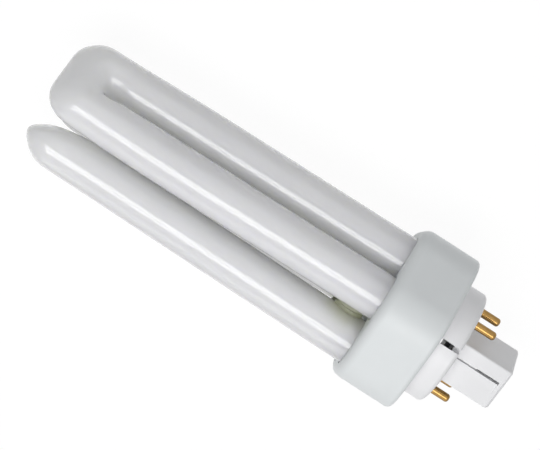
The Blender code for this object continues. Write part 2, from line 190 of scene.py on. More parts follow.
def closed_surface(name: str, rings: Points) -> Piece:
    """Make a closed surface through rings of equal count, in the lamp's own millimetres.

    The quad (i, j) joins points j and j + 1, which wraps round, of rings i and i + 1. Each end
    is closed by a fan to the middle of its ring. Where the sum of the triangles' signed
    volumes is negative, all faces are turned round, so that they point outwards.

    Args:
        name: Name of the object and of its mesh.
        rings: Array of shape (rings, points, 3).

    Returns:
        The object, which stands at the origin with its place in its mesh.
    """
    count, sides, _ = rings.shape
    middles = rings.mean(axis=1)
    points = np.vstack((rings.reshape(-1, 3), middles[0], middles[-1]))
    i, j = np.meshgrid(np.arange(count - 1), np.arange(sides), indexing="ij")
    k = (j + 1) % sides
    low, high = i * sides, (i + 1) * sides
    quads = np.stack((low + j, low + k, high + k, high + j), axis=-1).reshape(-1, 4)
    j = np.arange(sides)
    k = (j + 1) % sides
    top = (count - 1) * sides
    fans = np.vstack((np.stack((np.full(sides, len(points) - 2), k, j), axis=-1),
                      np.stack((np.full(sides, len(points) - 1), top + j, top + k), axis=-1)))
    triangles = np.vstack((quads[:, :3], quads[:, [0, 2, 3]], fans))
    a, b, c = (points[triangles[:, n]] for n in range(3))
    if np.einsum("ij,ij->", a, np.cross(b, c)) < 0:
        quads, fans = quads[:, ::-1], fans[:, ::-1]
    mesh = bpy.data.meshes.new(name)
    mesh.from_pydata(POSE.to_row(points), [], quads.tolist() + fans.tolist())
    mesh.shade_smooth()
    mesh.set_sharp_from_angle(angle=SMOOTH_BELOW)
    return linked(name, mesh)


class Cut(Enum):
    """How a tool solid changes a piece."""

    AWAY = "DIFFERENCE"
    JOINED = "UNION"


def worked(piece: Piece, tools: Sequence[tuple[Piece, Cut]]) -> Piece:
    """Cut tools away from a piece, or join them to it, and then remove the tools.

    Args:
        piece: The piece that is worked.
        tools: Tool solids with what each does.

    Returns:
        The piece, with its mesh replaced.
    """
    for tool, cut in tools:
        modifier = piece.modifiers.new(tool.name, "BOOLEAN")
        modifier.operation = cut.value
        modifier.object = tool
        modifier.solver = "EXACT"
    depsgraph = bpy.context.evaluated_depsgraph_get()
    mesh = bpy.data.meshes.new_from_object(piece.evaluated_get(depsgraph))
    piece.modifiers.clear()
    piece.data = mesh
    mesh.name = piece.name
    for tool, _ in tools:
        bpy.data.objects.remove(tool)
    mesh.shade_smooth()
    mesh.set_sharp_from_angle(angle=SMOOTH_BELOW)
    even = piece.modifiers.new("even_shading", "WEIGHTED_NORMAL")
    even.keep_sharp = True
    return piece


# Finishes


def surface_detail_group() -> bpy.types.NodeTree:
    """Build the node group that every finish shares: mottled colour, uneven gloss and grain.

    Returns:
        A group that takes coordinates in metres, two colours, a roughness and its spread, and
        the sizes of mottle and grain in millimetres, and puts out Color, Roughness and Height.
    """
    group = bpy.data.node_groups.new("surface_detail", "ShaderNodeTree")
    face = group.interface
    for name, kind in (("Vector", "Vector"), ("Light", "Color"), ("Dark", "Color"),
                       ("Roughness", "Float"), ("Spread", "Float"),
                       ("Mottle Size", "Float"), ("Grain Size", "Float")):
        face.new_socket(name, in_out="INPUT", socket_type=f"NodeSocket{kind}")
    for name, kind in (("Color", "Color"), ("Roughness", "Float"), ("Height", "Float")):
        face.new_socket(name, in_out="OUTPUT", socket_type=f"NodeSocket{kind}")
    nodes, links = group.nodes, group.links
    source, target = nodes.new("NodeGroupInput"), nodes.new("NodeGroupOutput")

    def per_metre(size: str) -> bpy.types.Node:
        """Turn a size in millimetres into a noise scale per metre.

        Args:
            size: Name of the group's input that gives the size.

        Returns:
            The node that divides by it.
        """
        node = nodes.new("ShaderNodeMath")
        node.operation = "DIVIDE"
        node.inputs[0].default_value = 1.0 / MM
        links.new(source.outputs[size], node.inputs[1])
        return node

    def noise(size: str, detail: float) -> bpy.types.Node:
        """Add a noise of the size that a socket gives.

        Args:
            size: Name of the group's input that gives the size.
            detail: How many finer layers it has.

        Returns:
            The noise node.
        """
        node = nodes.new("ShaderNodeTexNoise")
        node.inputs["Detail"].default_value = detail
        links.new(source.outputs["Vector"], node.inputs["Vector"])
        links.new(per_metre(size).outputs[0], node.inputs["Scale"])
        return node

    mottle, grain = noise("Mottle Size", MOTTLE_DETAIL), noise("Grain Size", GRAIN_DETAIL)
    spread = nodes.new("ShaderNodeMapRange")
    spread.inputs["From Min"].default_value = MOTTLE_LOW
    spread.inputs["From Max"].default_value = MOTTLE_HIGH
    links.new(mottle.outputs["Fac"], spread.inputs["Value"])
    mix = nodes.new("ShaderNodeMix")
    mix.data_type = "RGBA"
    links.new(spread.outputs["Result"], mix.inputs["Factor"])
    links.new(source.outputs["Light"], mix.inputs[MIX_A])
    links.new(source.outputs["Dark"], mix.inputs[MIX_B])
    gloss = nodes.new("ShaderNodeMath")
    gloss.operation = "MULTIPLY_ADD"
    links.new(spread.outputs["Result"], gloss.inputs[0])
    links.new(source.outputs["Spread"], gloss.inputs[1])
    links.new(source.outputs["Roughness"], gloss.inputs[2])
    links.new(mix.outputs[MIX_RESULT], target.inputs["Color"])
    links.new(gloss.outputs[0], target.inputs["Roughness"])
    links.new(grain.outputs["Fac"], target.inputs["Height"])
    return group


DETAIL = surface_detail_group()


@dataclass(frozen=True)
class Finish:
    """A finish: its colours, how rough it is, and the size and height of its grain."""

    name: str
    light: Colour
    dark: Colour
    roughness: float
    spread: float = 0.04
    mottle_mm: float = 8.0
    grain_mm: float = 0.4
    grain_height_mm: float = 0.004
    metallic: float = 0.0
    coat: float = 0.0
    coat_roughness: float = 0.05
    transmission: float = 0.0
    translucency: float = 0.0
    reach_mm: Triple = (1.0, 1.0, 1.0)
    stretch: float = 1.0
    # olive tint round the bridges: partly a thinner coat, partly painted shade in the crease
    thin_coat_and_shade_tint: Colour | None = None

    def material(self) -> bpy.types.Material:
        """Make the finish's material, on Object coordinates turned in line with the lamp.

        Returns:
            The material.
        """
        material = bpy.data.materials.new(self.name)
        material.use_nodes = True
        nodes, links = material.node_tree.nodes, material.node_tree.links
        shader = nodes["Principled BSDF"]
        place = nodes.new("ShaderNodeTexCoord")
        turn = nodes.new("ShaderNodeMapping")
        turn.inputs["Rotation"].default_value = (0.0, -POSE.tilt, 0.0)
        turn.inputs["Scale"].default_value = (1.0 / self.stretch, 1.0, 1.0)
        detail = nodes.new("ShaderNodeGroup")
        detail.node_tree = DETAIL
        detail.name = "detail"
        for socket, value in (("Light", (*self.light, 1.0)), ("Dark", (*self.dark, 1.0)),
                              ("Roughness", self.roughness), ("Spread", self.spread),
                              ("Mottle Size", self.mottle_mm), ("Grain Size", self.grain_mm)):
            detail.inputs[socket].default_value = value
        bump = nodes.new("ShaderNodeBump")
        bump.inputs["Strength"].default_value = 1.0
        bump.inputs["Distance"].default_value = self.grain_height_mm * MM
        links.new(place.outputs["Object"], turn.inputs["Vector"])
        links.new(turn.outputs["Vector"], detail.inputs["Vector"])
        if self.thin_coat_and_shade_tint is None:
            links.new(detail.outputs["Color"], shader.inputs["Base Color"])
        else:
            # mix in the olive tint near the bridges: partly a thinner coat, partly painted shade in
            # the crease
            share, mix = nodes.new("ShaderNodeAttribute"), nodes.new("ShaderNodeMix")
            share.attribute_name = COAT_AND_SHADE_SHARE
            mix.data_type = "RGBA"
            mix.inputs[MIX_A].default_value = (*self.thin_coat_and_shade_tint, 1.0)
            links.new(share.outputs["Fac"], mix.inputs["Factor"])
            links.new(detail.outputs["Color"], mix.inputs[MIX_B])
            links.new(mix.outputs[MIX_RESULT], shader.inputs["Base Color"])
        links.new(detail.outputs["Roughness"], shader.inputs["Roughness"])
        links.new(detail.outputs["Height"], bump.inputs["Height"])
        links.new(bump.outputs["Normal"], shader.inputs["Normal"])
        for socket, value in (("Metallic", self.metallic), ("Coat Weight", self.coat),
                              ("Coat Roughness", self.coat_roughness),
                              ("Transmission Weight", self.transmission),
                              ("Subsurface Weight", self.translucency),
                              ("Subsurface Radius", self.reach_mm), ("Subsurface Scale", MM)):
            shader.inputs[socket].default_value = value
        return material


# the olive tint is partly a thinner coat round the bridges and partly painted shade in the crease
PHOSPHOR_GLASS = Finish("phosphor_glass", (0.955, 0.96, 0.945), (0.94, 0.945, 0.925), 0.45,
                        mottle_mm=6.0, grain_mm=1.5, grain_height_mm=0.002, coat=1.0,
                        coat_roughness=0.09, translucency=1.0, reach_mm=(30.0, 30.0, 26.0),
                        stretch=5.0, thin_coat_and_shade_tint=(0.74, 0.75, 0.62))
BARE_GLASS = Finish("bare_glass", (0.40, 0.41, 0.29), (0.31, 0.32, 0.21), 0.3, mottle_mm=2.5,
                    grain_mm=1.2, grain_height_mm=0.02, coat=1.0, transmission=0.35)
COLLAR_MOULDING = Finish("collar_moulding", (0.85, 0.88, 0.885), (0.83, 0.86, 0.865), 0.42,
                         grain_mm=0.25, grain_height_mm=0.006)
CAP_MOULDING = Finish("cap_moulding", (0.92, 0.92, 0.93), (0.90, 0.90, 0.91), 0.38,
                      grain_mm=0.25, grain_height_mm=0.004)
CEMENT = Finish("cement", (0.72, 0.70, 0.64), (0.60, 0.58, 0.52), 0.9, mottle_mm=1.5,
                grain_mm=0.3, grain_height_mm=0.08)
BRASS = Finish("brass", (0.36, 0.22, 0.08), (0.27, 0.16, 0.05), 0.2, mottle_mm=2.5,
               grain_mm=0.12, grain_height_mm=0.002, metallic=1.0)
LEAD_WIRE = Finish("lead_wire", (0.56, 0.56, 0.57), (0.47, 0.47, 0.48), 0.32, mottle_mm=1.0,
                   grain_mm=0.1, grain_height_mm=0.003, metallic=1.0, stretch=3.0)


def dress(piece: Piece, material: bpy.types.Material) -> None:
    """Give every face of a piece one material."""
    piece.data.materials.clear()
    piece.data.materials.append(material)


def show(piece: Piece, material: bpy.types.Material, slot: str, *nodes: str) -> None:
    """Finish a piece: dress it, let it ride with the lamp and say which CAD nodes it stands for.

    Args:
        piece: The finished piece.
        material: Its material.
        slot: The record's material slot; it is not used.
        nodes: Names of the CAD nodes that the piece replaces.
    """
    dress(piece, material)
    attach(piece, "root")
    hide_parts(*nodes)
    log.info("%s: %d faces, stands for %s", piece.name, len(piece.data.polygons), ", ".join(nodes))


# The lamp


@dataclass
class GlassBody:
    """Three coated U-tubes, fused by two short bridges of bare glass. Sizes in millimetres."""

    tube_radius: float = 6.35
    tube_length: float = 101.3
    leg_insert: float = 11.0
    slot_gap: float = 0.9
    tip_gap: float = 0.8
    foot_gap: float = 2.9
    bend_web: float = 12.8
    bend_corner: float = 7.5
    pinch_depth: float = 0.6
    pinch_length: float = 35.0
    eye_radius: float = 1.1
    eye_length: float = 5.0
    outer_taper: float = 9.2
    outer_tip_share: float = 0.6
    inner_taper: float = 20.0
    inner_tip_share: float = 0.5
    seal_height: float = 4.0
    bridge_depth: float = 1.1
    bridge_length: float = 3.8
    bridge_flare: float = 0.3
    bridge_rise: float = 5.5
    bridge_inset: float = 2.6
    bridge_buried_share: float = 0.5
    bridge_flare_share: float = 0.8
    # how far the olive tint reaches round a bridge: partly a thinner coat, partly painted shade
    thin_coat_and_shade_near: float = 3.0
    thin_coat_and_shade_far: float = 10.0
    collar_front: float = 17.6
    sides: int = 96
    leg_rings: int = 64
    bend_rings: int = 96
    seal_rings: int = 12
    headings: tuple[float, ...] = tuple(math.radians(90.0 + 120.0 * k) for k in range(3))
    bridged: tuple[tuple[int, int], ...] = ((1, 2), (0, 1))

    @property
    def leg_offset(self) -> float:
        """Distance from the middle of a U to the axis of each leg."""
        return self.tube_radius + self.slot_gap / 2

    @property
    def eye_centre(self) -> float:
        """Height of the middle of the small eye that the slot ends in."""
        return self.tube_length - self.bend_web - self.eye_radius

    def apothem(self, gap: float) -> float:
        """Return the distance from the lamp's axis to a U whose neighbour lies the gap away."""
        half = math.pi / len(self.headings)
        return (self.tube_radius + gap / 2 + self.leg_offset * math.cos(half)) / math.sin(half)

    @property
    def lean(self) -> float:
        """Angle by which each U leans in towards the axis."""
        closing = self.apothem(self.foot_gap) - self.apothem(self.tip_gap)
        return math.atan2(closing, self.tube_length)

    def placed(self, points: Points, heading: float) -> Points:
        """Carry points from a U's own frame into the lamp's.

        Args:
            points: Points with +X outwards, +Y along the U's width and +Z up its legs.
            heading: The U's heading round the lamp's axis, in radians.

        Returns:
            The points in the lamp's frame, leaning by the lean angle.
        """
        c, s = math.cos(self.lean), math.sin(self.lean)
        leaning = points @ np.array(((c, 0.0, s), (0.0, 1.0, 0.0), (-s, 0.0, c)))
        leaning = leaning + np.array((self.apothem(self.foot_gap), 0.0, self.collar_front))
        return turned(leaning, heading)

    def slot_half_width(self, z: Points) -> Points:
        """Return half the slot's width: even along the legs, then a smooth step into the eye.

        Args:
            z: Heights above the front of the collar.

        Returns:
            Half the width at each height.
        """
        nearness = np.clip(1.0 - (self.eye_centre - z) / self.eye_length, 0.0, 1.0)
        opening = nearness ** 2 * (3.0 - 2.0 * nearness)
        return self.slot_gap / 2 + (self.eye_radius - self.slot_gap / 2) * opening

    def leg_reach(self, z: Points) -> Points:
        """Return a leg's reach from its U's middle: pinched in by a parabola at the bend."""
        nearness = np.maximum(1.0 - (self.eye_centre - z) / self.pinch_length, 0.0)
        return self.leg_offset + self.tube_radius - self.pinch_depth * nearness ** 2

    def bend_reach(self, turn: Points) -> Points:
        """Return how far the bend's rounded square outline lies from the middle of the eye.

        The ray at each turn meets the flat side, the flat top or the corner's arc, whichever
        comes first.

        Args:
            turn: Angles round the eye, from one leg (0) to the other (pi).

        Returns:
            The distance at each angle.
        """
        half_width = self.leg_offset + self.tube_radius - self.pinch_depth
        height = self.bend_web + self.eye_radius
        corner = self.bend_corner
        x, y = np.maximum(np.abs(np.cos(turn)), TINY), np.maximum(np.sin(turn), TINY)
        centre_x, centre_y = half_width - corner, height - corner
        nearest = x * centre_x + y * centre_y
        inside = nearest ** 2 - centre_x ** 2 - centre_y ** 2 + corner ** 2
        arc = nearest + np.sqrt(np.maximum(inside, 0.0))
        reach = np.where(x * height <= y * centre_x, height / y, arc)
        return np.where(y * half_width <= x * centre_y, half_width / x, reach)

    def thinned(self, points: Points) -> Points:
        """Flatten a U towards its tip, more slowly on the side that faces the axis.

        The thickness is share + (1 - share) sin(pi/2 * distance from the tip / taper).

        Args:
            points: Points in the U's own frame.

        Returns:
            The points, with their distance from the U's plane scaled by the thickness.
        """
        outer = points[..., 0] > 0
        taper = np.where(outer, self.outer_taper, self.inner_taper)
        share = np.where(outer, self.outer_tip_share, self.inner_tip_share)
        from_tip = np.clip((self.tube_length - points[..., 2]) / taper, 0.0, 1.0)
        thickness = share + (1.0 - share) * np.sin(math.pi / 2 * from_tip)
        return points * np.stack((thickness, np.ones_like(taper), np.ones_like(taper)), axis=-1)

    def u_rings(self) -> Points:
        """Work out one U-tube in its own frame.

        A ring is an ellipse between the slot and the outside of the U. The legs' rings lie
        closer together towards the bend, as height = eye - length (1 - t)^2, the bend's rings
        turn round the eye, and each foot is a dome.

        Returns:
            The tube's rings, from seal to seal.
        """
        v = np.linspace(0.0, math.tau, self.sides, endpoint=False)

        def leg(side: int) -> Points:
            """Return a leg's rings with its domed seal, from the foot up.

            Args:
                side: 1 for the leg on the U's +Y side, -1 for the other.

            Returns:
                The rings in the U's own frame.
            """
            dome = np.linspace(0.0, math.pi / 2, self.seal_rings + 1)[1:, None]
            radius = self.tube_radius * np.sin(dome)
            foot = -self.leg_insert + self.seal_height * (1 - np.cos(dome))
            x, y = radius * np.sin(v), side * (self.leg_offset + radius * np.cos(v))
            domed = np.stack((x, y, np.broadcast_to(foot, x.shape)), axis=-1)
            t = np.linspace(0.0, 1.0, self.leg_rings + 1)[1:-1, None]
            z = self.eye_centre - (self.eye_centre - foot[-1]) * (1.0 - t) ** 2
            inner, outer = self.slot_half_width(z), self.leg_reach(z)
            y = side * ((outer + inner) / 2 + (outer - inner) / 2 * np.cos(v))
            x = np.broadcast_to(self.tube_radius * np.sin(v), y.shape)
            return np.concatenate((domed, np.stack((x, y, np.broadcast_to(z, y.shape)), axis=-1)))

        turn = np.linspace(0.0, math.pi, self.bend_rings + 1)[:, None]
        reach = self.bend_reach(turn)
        far = (reach + self.eye_radius) / 2 + (reach - self.eye_radius) / 2 * np.cos(v)
        x = np.broadcast_to(self.tube_radius * np.sin(v), far.shape)
        bend = np.stack((x, far * np.cos(turn), self.eye_centre + far * np.sin(turn)), axis=-1)
        return self.thinned(np.concatenate((leg(1), bend, leg(-1)[::-1])))

    def bridge_rings(self, first: int, second: int) -> Points:
        """Return the rings of a bridge between two legs: a flat web that flares at both ends.

        Its section is an ellipse, long along the lamp. Both half axes grow by flare |s|^3, where
        s runs from -1 to 1 between the legs' surfaces, and stay at their widest inside the legs.

        Args:
            first: Number of the U whose +Y leg it starts from.
            second: Number of the U whose -Y leg it ends in.

        Returns:
            Rings round the line between the two legs' axes, in the lamp's frame.
        """
        foot = np.array(((-self.bridge_inset, self.leg_offset, self.bridge_rise),))
        start = self.placed(foot, self.headings[first])[0]
        end = self.placed(foot * np.array((1.0, -1.0, 1.0)), self.headings[second])[0]
        span = np.linalg.norm(end - start)
        along = (end - start) / span
        side = np.cross(along, (0.0, 0.0, 1.0))
        side /= np.linalg.norm(side)
        up = np.cross(side, along)
        buried = self.tube_radius * self.bridge_buried_share
        t = np.linspace(-1.0, 1.0, self.leg_rings + 1)[:, None] * (span / 2 - buried)
        flared = span / 2 - self.tube_radius * self.bridge_flare_share
        s = np.minimum(np.abs(t) / flared, 1.0)
        flare = self.bridge_flare * s ** 3
        v = np.linspace(0.0, math.tau, self.sides, endpoint=False)
        centre = (start + end) / 2 + t[..., None] * along
        deep = ((self.bridge_depth + flare) * np.cos(v))[..., None] * side
        return centre + deep + ((self.bridge_length + flare) * np.sin(v))[..., None] * up

    def coat_and_shade_share(self, rings: Points, bridges: Sequence[Points]) -> Points:
        """Return the share of the coat's full colour: the olive tint round each bridge is partly a
        thinner coat where it was fused and partly painted shade in the crease.

        The share rises smoothly from 0 at the near distance from a bridge's middle to 1 at the
        far one.

        Args:
            rings: Rings of a tube.
            bridges: Rings of every bridge.

        Returns:
            One share for each point of the closed surface through the rings.
        """
        middles = rings.mean(axis=1)
        points = np.vstack((rings.reshape(-1, 3), middles[0], middles[-1]))
        centres = np.stack([bridge.mean(axis=(0, 1)) for bridge in bridges])
        nearest = np.linalg.norm(points[:, None] - centres, axis=-1).min(axis=1)
        reach = self.thin_coat_and_shade_far - self.thin_coat_and_shade_near
        share = np.clip((nearest - self.thin_coat_and_shade_near) / reach, 0.0, 1.0)
        return share ** 2 * (3.0 - 2.0 * share)

    def build(self) -> None:
        """Build and dress the U-tubes and the bridges."""
        coated, bare = PHOSPHOR_GLASS.material(), BARE_GLASS.material()
        bridges = [self.bridge_rings(first, second) for first, second in self.bridged]
        for number, heading in enumerate(self.headings, start=1):
            rings = self.placed(self.u_rings(), heading)
            tube = closed_surface(f"u_tube_{number}", rings)
            # olive tint round the bridges: partly a thinner coat, partly painted shade in the
            # crease
            coat = tube.data.attributes.new(COAT_AND_SHADE_SHARE, "FLOAT", "POINT")
            coat.data.foreach_set("value", self.coat_and_shade_share(rings, bridges).astype(np.float32))
            show(tube, coated, "phosphor_glass", "discharge_tube")
        for number, rings in enumerate(bridges, start=1):
            bridge = closed_surface(f"glass_bridge_{number}", rings)
            show(bridge, bare, "phosphor_glass", "discharge_tube")


@dataclass
class Collar:
    """The moulded collar: a rounded hexagonal shell that the legs pass into. In millimetres."""

    height: float = 17.6
    margin: float = 3.35
    flats: int = 6
    corner: float = 12.2
    wall: float = 2.0
    front_wall: float = 2.0
    rim_round: float = 3.0
    back_round: float = 1.3
    seat_ledge: float = 0.5
    seat_depth: float = 2.5
    bore_gap: float = 0.45
    bore_lip: float = 0.15
    overrun: float = 1.0
    corner_steps: int = 20
    round_steps: int = 10

    def outline(self, apothem: float) -> Outline:
        """Return the hexagon's outline as a function of its inset."""
        return lambda inset: rounded_polygon(self.flats, apothem - inset, self.corner - inset,
                                             0.0, self.corner_steps)

    def bore_rings(self, glass: GlassBody, side: int) -> Points:
        """Return the rings of a leg's bore in its U's frame, with a rounded lip at the front.

        Args:
            glass: The glass body whose leg passes through.
            side: 1 for the leg on the U's +Y side, -1 for the other.

        Returns:
            The cutter's rings, from the back to the front.
        """
        radius = glass.tube_radius + self.bore_gap
        lip = quarter_round(self.bore_lip, 0.0, False, self.round_steps // 2)
        profile = np.vstack(((radius, -glass.leg_insert), (radius, -self.bore_lip),
                             np.column_stack((radius + lip[:, 0], lip[:, 1]))[1:],
                             (radius + self.bore_lip, self.overrun)))
        rings = carried(lambda r: circle(r, glass.sides), profile)
        return rings + np.array((0.0, side * glass.leg_offset, 0.0))

    def build(self, glass: GlassBody) -> float:
        """Build and dress the collar.

        Args:
            glass: The glass body whose legs it holds.

        Returns:
            The distance from the lamp's axis to the collar's flats.
        """
        apothem = glass.apothem(glass.foot_gap) + glass.tube_radius + self.margin
        outline = self.outline(apothem)
        profile = np.vstack((quarter_round(self.back_round, 0.0, True, self.round_steps // 2),
                             quarter_round(self.rim_round, self.height, False, self.round_steps)))
        collar = closed_surface("collar", carried(outline, profile))
        ledge = self.wall - self.seat_ledge
        cavity = np.array(((ledge, -self.overrun), (ledge, self.seat_depth),
                           (self.wall, self.seat_depth),
                           (self.wall, self.height - self.front_wall)))
        tools = [(closed_surface("cavity", carried(outline, cavity)), Cut.AWAY)]
        for heading in glass.headings:
            for side in (-1, 1):
                rings = glass.placed(self.bore_rings(glass, side), heading)
                tools.append((closed_surface("bore", rings), Cut.AWAY))
        show(worked(collar, tools), COLLAR_MOULDING.material(), "white_moulding", "collar_housing")
        return apothem


@dataclass
class ContactPins:
    """Four turned brass pins in two pairs, each with a flange and a bore. In millimetres."""

    pair_spacing: float = 23.0
    spacing: float = 8.0
    radius: float = 1.175
    length: float = 6.4
    tip: float = 0.8
    flange_radius: float = 1.8
    flange_height: float = 0.6
    neck_radius: float = 1.0
    neck_height: float = 1.6
    bore_radius: float = 0.6
    bore_depth: float = 5.0
    seat_gap: float = 0.3
    turned_edge: float = 0.1
    sides: int = 48
    tip_rings: int = 10

    def places(self) -> list[tuple[float, float]]:
        """Return the pins' centres, pair by pair."""
        return [(pair * self.pair_spacing / 2, place * self.spacing / 2)
                for pair in (1, -1) for place in (1, -1)]

    def profile(self, disc_face: float, disc_inside: float) -> Points:
        """Return the section of a pin as (radius, height), from its tip round to its bore.

        Args:
            disc_face: Height of the disc's end face, where the pins come out.
            disc_inside: Height of the disc's floor inside, where the flanges sit.

        Returns:
            The section's points: a quarter ellipse at the tip, then straight lines.
        """
        turn = np.linspace(0.0, math.pi / 2, self.tip_rings + 1)[::-1]
        end, edge = disc_face - self.length, self.turned_edge
        tip = np.column_stack((self.radius - self.tip * (1 - np.cos(turn)),
                               end + self.tip * (1 - np.sin(turn))))
        flange = disc_inside + self.seat_gap
        shoulder = flange + self.flange_height
        top = shoulder + self.neck_height
        shank = ((self.radius, flange), (self.flange_radius - edge, flange),
                 (self.flange_radius, flange + edge), (self.flange_radius, shoulder - edge),
                 (self.flange_radius - edge, shoulder), (self.neck_radius, shoulder),
                 (self.neck_radius, top), (self.bore_radius, top),
                 (self.bore_radius, top - self.bore_depth))
        return np.vstack((tip, shank))

    def build(self, disc_face: float, disc_inside: float) -> None:
        """Build and dress the pins.

        Args:
            disc_face: Height of the disc's end face.
            disc_inside: Height of the disc's floor inside.
        """
        brass = BRASS.material()
        profile = self.profile(disc_face, disc_inside)
        for number, (x, y) in enumerate(self.places(), start=1):
            rings = carried(lambda r: circle(r, self.sides), profile) + np.array((x, y, 0.0))
            pin = closed_surface(f"pin_{number}", rings)
            show(pin, brass, "brass", f"contact_pin_{number}")


@dataclass
class BaseCap:
    """The cap: plate, round disc and keyed post in one moulding. Sizes in millimetres."""

    plate: float = 2.2
    plate_gap: float = 0.3
    disc_radius: float = 16.5
    disc_height: float = 6.9
    disc_wall: float = 1.8
    disc_floor: float = 2.0
    disc_round: float = 1.2
    notch_width: float = 1.4
    notch_depth: float = 2.6
    notch_heading: float = math.radians(-62.0)
    post_width: float = 13.2
    post_length: float = 15.6
    post_wall: float = 1.7
    post_sides: int = 4
    post_edge: float = 0.5
    post_edge_least: float = 0.125
    post_chamfer: float = 0.6
    keyway_offset: float = 1.25
    keyway_width: float = 1.0
    keyway_depth: float = 2.2
    guide_width: float = 0.5
    guide_depth: float = 1.3
    keyway_stop: float = 1.5
    latch_width: float = 3.5
    latch_length: float = 7.0
    latch_depth: float = 0.4
    latch_overrun: float = 3.0
    guide_overrun: float = 2.0
    stagger: float = 0.1
    pin_gap: float = 0.3
    overlap: float = 1.0
    disc_sides: int = 160
    round_steps: int = 8

    @property
    def face(self) -> float:
        """Height of the disc's end face."""
        return -self.disc_height

    @property
    def inside(self) -> float:
        """Height of the disc's floor inside."""
        return self.face + self.disc_floor

    @property
    def post_end(self) -> float:
        """Height of the post's end."""
        return self.face - self.post_length

    def square(self, inset: float) -> Points:
        """Return the post's outline, set in evenly."""
        corner = max(self.post_edge - inset, self.post_edge_least)
        return rounded_polygon(self.post_sides, self.post_width / 2 - inset, corner,
                               math.pi / self.post_sides, self.round_steps)

    def bar(self, name: str, low: Triple, high: Triple, heading: float) -> Piece:
        """Make a straight-sided tool between two corners, turned about the lamp's axis.

        Args:
            name: Name of the tool.
            low: Its corner with the least x, y and z.
            high: Its corner with the greatest.
            heading: Angle by which it is turned.

        Returns:
            The tool.
        """
        (x0, y0, z0), (x1, y1, z1) = low, high
        return self.prism(name, np.array(((x0, y0), (x1, y0), (x1, y1), (x0, y1))), z0, z1, heading)

    def prism(self, name: str, flat: Points, low: float, high: float, heading: float) -> Piece:
        """Make a tool of one section between two heights, turned about the lamp's axis.

        Args:
            name: Name of the tool.
            flat: The section's corners.
            low: Height of its lower end.
            high: Height of its upper end.
            heading: Angle by which it is turned.

        Returns:
            The tool.
        """
        rings = carried(lambda inset: flat, np.array(((0.0, low), (0.0, high))))
        return closed_surface(name, turned(rings, heading))

    def hollows(self, pins: ContactPins) -> list[tuple[Piece, Cut]]:
        """Return the cutters that hollow the cap from inside.

        Args:
            pins: The contact pins, whose holes step out into wells for their flanges.

        Returns:
            The cutters of the disc's and the post's pockets, and of the pin holes.
        """
        open_top = self.plate + self.overlap
        pocket = np.array(((self.disc_wall, self.inside), (self.disc_wall, open_top)))
        disc = carried(lambda inset: circle(self.disc_radius - inset, self.disc_sides), pocket)
        pocket = np.array(((self.post_wall, self.post_end + self.post_wall),
                           (self.post_wall, self.inside + self.overlap)))
        tools = [closed_surface("disc_pocket", disc),
                 closed_surface("post_pocket", carried(self.square, pocket))]
        hole, well = pins.radius + self.pin_gap, pins.flange_radius + self.pin_gap
        stepped = np.array(((hole, self.face - self.overlap), (hole, self.inside),
                            (well, self.inside), (well, open_top)))
        for x, y in pins.places():
            rings = carried(lambda r: circle(r, pins.sides), stepped) + np.array((x, y, 0.0))
            tools.append(closed_surface("pin_hole", rings))
        return [(tool, Cut.AWAY) for tool in tools]

    def keys(self) -> list[tuple[Piece, Cut]]:
        """Make the cutters that key the disc and the post, on both sides.

        The notch opens the disc's wall. The keyway opens the post's wall beside the latch
        recess, and is a closed guide from there to the disc. The recess is a wedge, deepest
        beside the keyway. The cutters overrun and are staggered by different amounts, because
        the Boolean breaks where the faces of two of them lie in one plane.

        Returns:
            The cutters of the key notches, the keyways and the latch recesses.
        """
        tools = []
        outside = -self.post_width / 2
        low = self.post_end + self.keyway_stop
        top = low + self.latch_length
        middle = self.keyway_offset + self.keyway_width / 2
        far, near = self.keyway_offset - self.latch_width, self.keyway_offset + self.stagger
        latch = np.array(((far, outside), (far, outside - self.latch_overrun),
                          (near, outside - self.latch_overrun),
                          (near, outside + self.latch_depth)))
        for heading in (0.0, math.pi):
            tools.append(self.bar("notch",
                                  (self.disc_radius - self.notch_depth, -self.notch_width / 2,
                                   self.face - self.overlap),
                                  (self.disc_radius + self.notch_depth, self.notch_width / 2, 0.0),
                                  self.notch_heading + heading))
            tools.append(self.bar("keyway", (self.keyway_offset, outside - self.overlap, low),
                                  (self.keyway_offset + self.keyway_width,
                                   outside + self.keyway_depth, top), heading))
            tools.append(self.bar("guide", (middle - self.guide_width / 2,
                                            outside - self.guide_overrun, top - self.overlap),
                                  (middle + self.guide_width / 2,
                                   outside + self.guide_depth, self.face), heading))
            tools.append(self.prism("latch", latch, low + self.stagger, top + self.stagger,
                                    heading))
        return [(tool, Cut.AWAY) for tool in tools]

    def build(self, collar: Collar, collar_apothem: float, pins: ContactPins) -> None:
        """Build and dress the cap.

        Args:
            collar: The collar that the cap closes.
            collar_apothem: Distance from the axis to the collar's flats.
            pins: The contact pins that come through the disc.
        """
        edge = collar.wall - collar.seat_ledge + self.plate_gap
        plate = np.array(((edge, 0.0), (edge, self.plate)))
        cap = closed_surface("base_cap_moulding", carried(collar.outline(collar_apothem), plate))
        disc = np.vstack((quarter_round(self.disc_round, self.face, True, self.round_steps),
                          (0.0, self.overlap)))
        post = np.array(((self.post_chamfer, self.post_end),
                         (0.0, self.post_end + self.post_chamfer), (0.0, self.face + self.overlap)))
        disc_rings = carried(lambda inset: circle(self.disc_radius - inset, self.disc_sides), disc)
        tools = [(closed_surface("disc", disc_rings), Cut.JOINED),
                 (closed_surface("post", carried(self.square, post)), Cut.JOINED)]
        tools += self.hollows(pins) + self.keys()
        show(worked(cap, tools), CAP_MOULDING.material(), "white_moulding", "base_cap")


